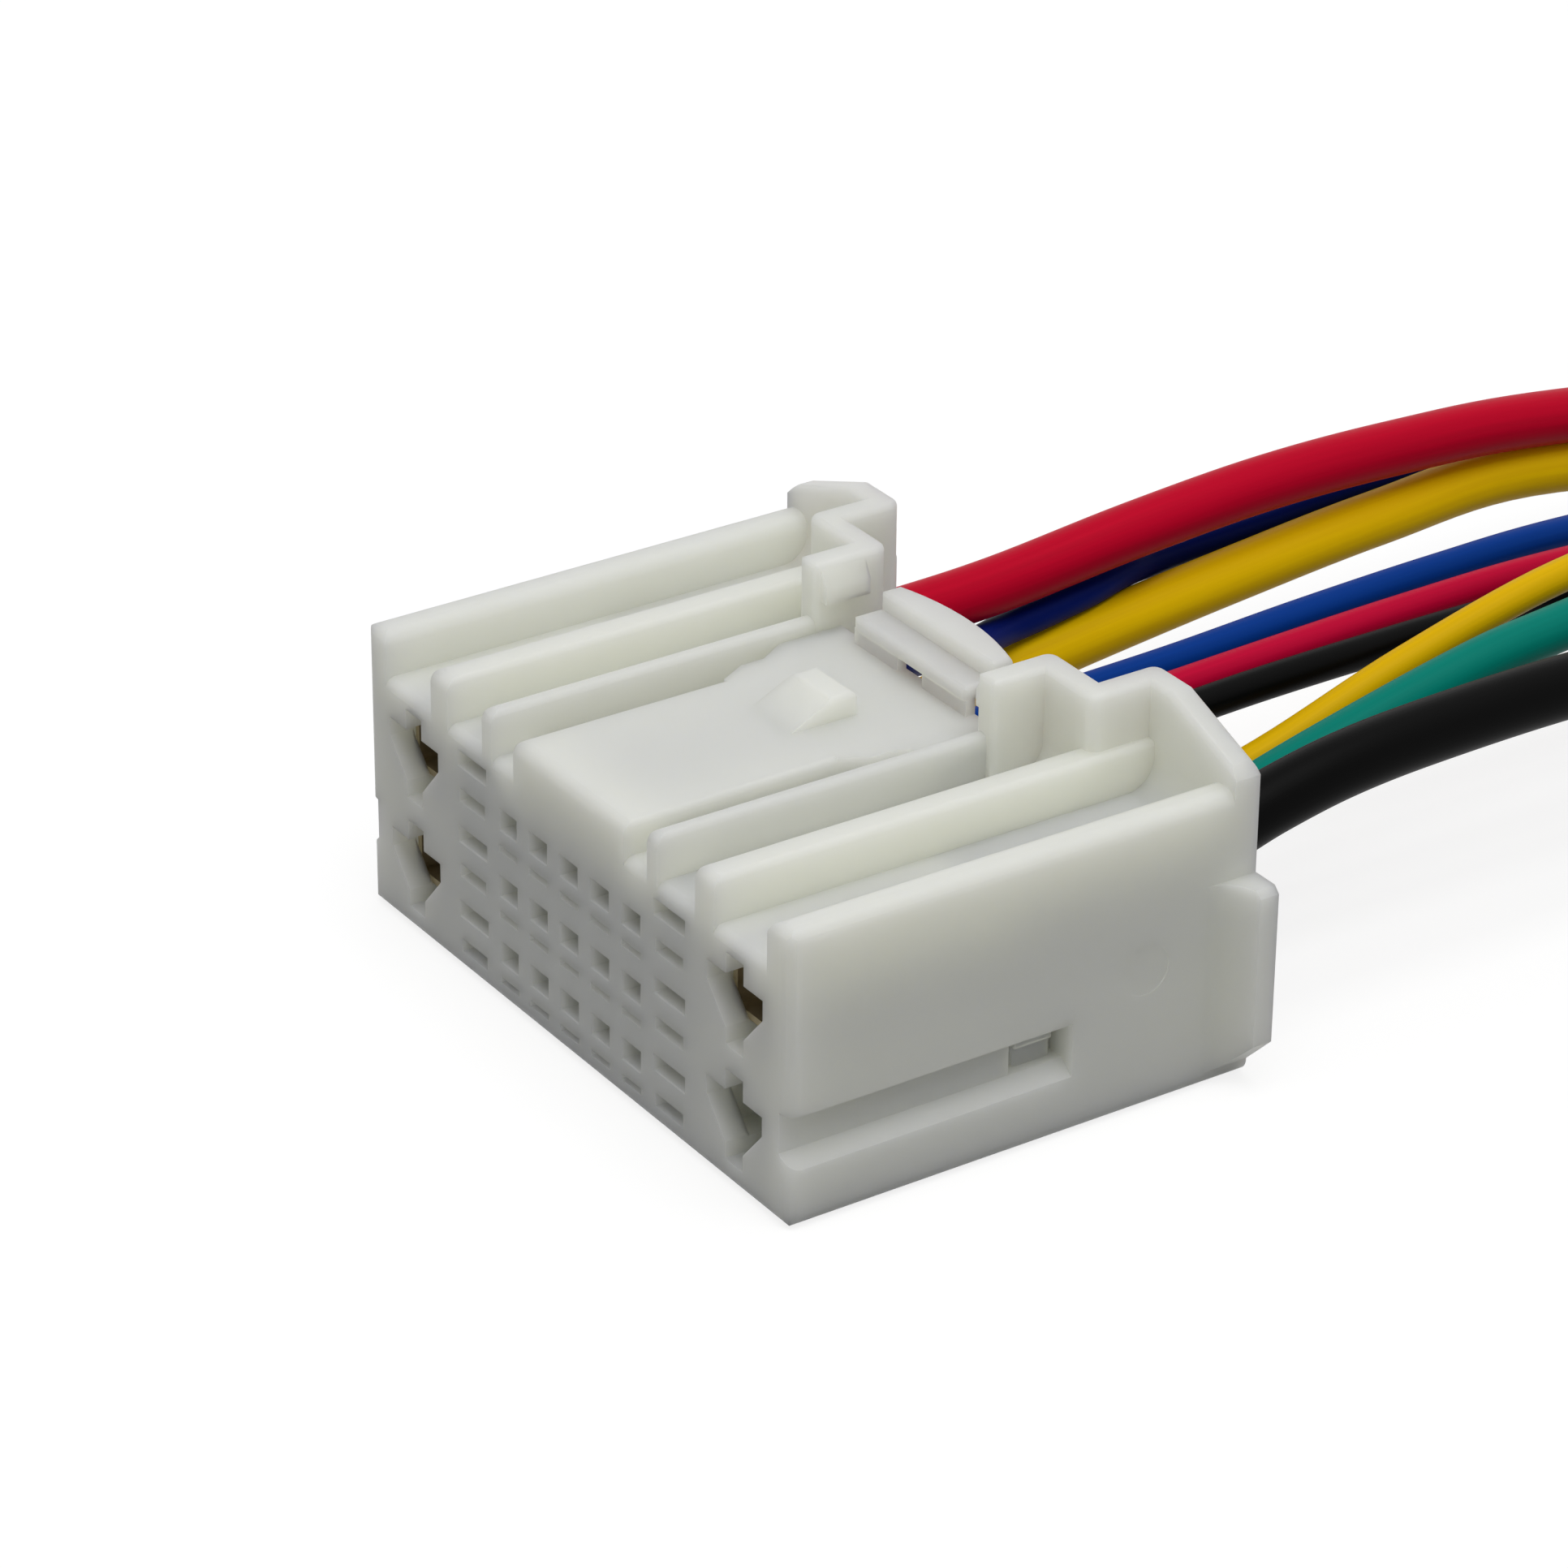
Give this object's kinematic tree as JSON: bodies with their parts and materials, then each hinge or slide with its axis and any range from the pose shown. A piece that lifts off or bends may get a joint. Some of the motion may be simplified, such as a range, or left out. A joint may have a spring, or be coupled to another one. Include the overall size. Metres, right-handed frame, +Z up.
{
  "type": "wiring harness connector",
  "caption": "White moulded cable socket with guide ribs, a latch arm with press pad, sheet metal terminals and a row of crimped coloured wires with stripped ends.",
  "frame": {"origin": "centre of the housing's rectangular footprint, on its flat base", "axes": "+Z up from the base, -Y out of the mating face, +Y the way the wires leave, +X to the right when the mating face is looked at"},
  "size_m": [0.0376, 0.155, 0.0169],
  "materials": {
    "housing": "natural nylon, satin, faintly translucent",
    "terminal": "tin plated",
    "strands": "bare copper",
    "wire_red": "smooth extruded insulation",
    "wire_navy": "smooth extruded insulation",
    "wire_gold": "smooth extruded insulation",
    "wire_blue": "smooth extruded insulation",
    "wire_crimson": "smooth extruded insulation",
    "wire_ink": "smooth extruded insulation",
    "wire_lemon": "smooth extruded insulation",
    "wire_teal": "smooth extruded insulation",
    "wire_black": "smooth extruded insulation"
  },
  "bodies": {
    "root": {"housing": "housing", "power_terminal_upper_left": "terminal", "power_terminal_lower_left": "terminal", "power_terminal_upper_right": "terminal", "wide_terminal_left": "terminal", "wide_terminal_right": "terminal", "signal_terminal_third": "terminal", "signal_terminal_fourth": "terminal", "signal_terminal_fifth": "terminal", "signal_terminal_sixth": "terminal", "wire_red": "wire_red", "wire_navy": "wire_navy", "wire_gold": "wire_gold", "wire_blue": "wire_blue", "wire_crimson": "wire_crimson", "wire_ink": "wire_ink", "wire_lemon": "wire_lemon", "wire_teal": "wire_teal", "wire_black": "wire_black", "strands_red": "strands", "strands_navy": "strands", "strands_gold": "strands", "strands_blue": "strands", "strands_crimson": "strands", "strands_ink": "strands", "strands_lemon": "strands", "strands_teal": "strands", "strands_black": "strands"}
  },
  "joints": []
}
